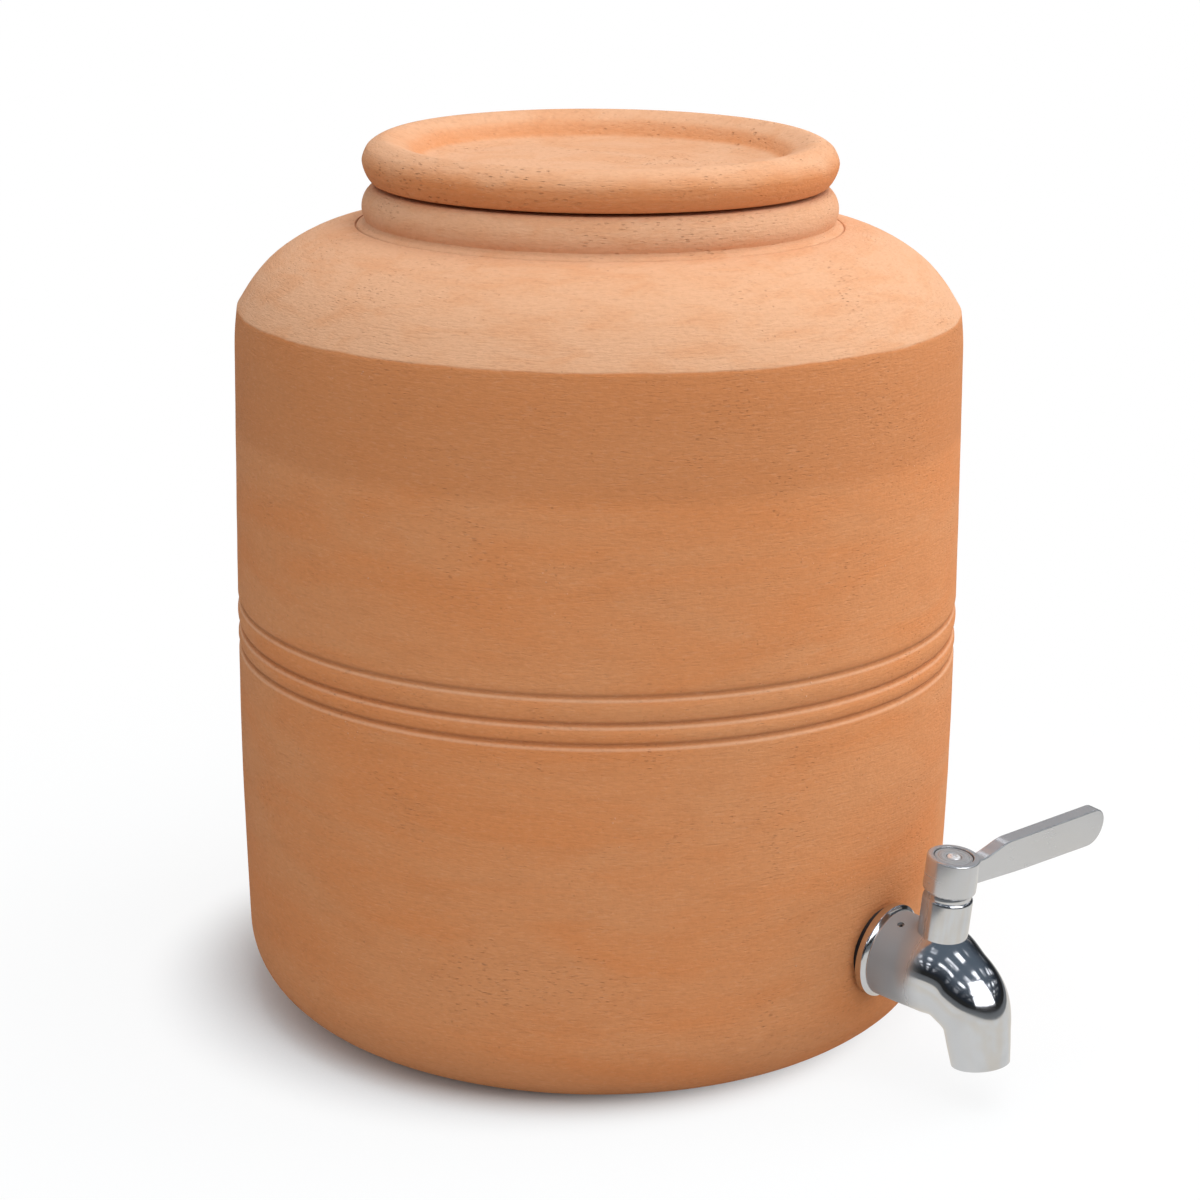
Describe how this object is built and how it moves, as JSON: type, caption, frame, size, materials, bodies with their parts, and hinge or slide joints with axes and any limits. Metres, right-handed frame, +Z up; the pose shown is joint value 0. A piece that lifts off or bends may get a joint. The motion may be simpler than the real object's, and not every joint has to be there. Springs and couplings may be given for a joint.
{
  "type": "clay water pot with tap",
  "caption": "Wide-mouthed unglazed clay water pot with a loose dished clay lid and a chrome quarter-turn lever tap low on its wall.",
  "frame": {"origin": "centre of the pot's flat foot, on the surface it stands on", "axes": "+Z up along the pot's axis, -Y towards the tap, +X to the side the lever points to"},
  "size_m": [0.2804, 0.3357, 0.3395],
  "materials": {
    "clay": "unglazed, matte, thrown",
    "chrome": "polished",
    "satin_steel": "satin",
    "steel": "plain",
    "brass": "machined",
    "rubber": "matte",
    "ptfe": "waxy"
  },
  "bodies": {
    "pot": {"pot_body": "clay", "outer_gasket": "rubber", "wall_flange": "chrome", "shank": "brass", "inner_gasket": "rubber", "inner_washer": "steel", "shank_seal": "ptfe", "lock_nut": "brass", "tap_body": "chrome", "grub_screw": "steel", "stop_pin": "steel", "inlet_seat": "ptfe", "outlet_seat": "ptfe", "thrust_washer": "ptfe", "stem_o_ring": "rubber", "stem_packing": "ptfe", "gland_nut": "brass"},
    "lever": {"valve_ball": "chrome", "valve_stem": "brass", "lever_handle": "satin_steel", "handle_cap": "satin_steel", "handle_screw": "steel"},
    "lid": {"lid": "clay"}
  },
  "joints": [
    {"name": "lever_turn", "type": "hinge", "parent": "pot", "child": "lever", "pos_m": [0, -0.16445, 0.04638], "axis": [0, -0.1045, 0.9945], "range_deg": [-83, 7]},
    {"name": "lid_lift", "type": "slide", "parent": "pot", "child": "lid", "axis": [0, 0, 1], "range_m": [0, 0.06]}
  ]
}
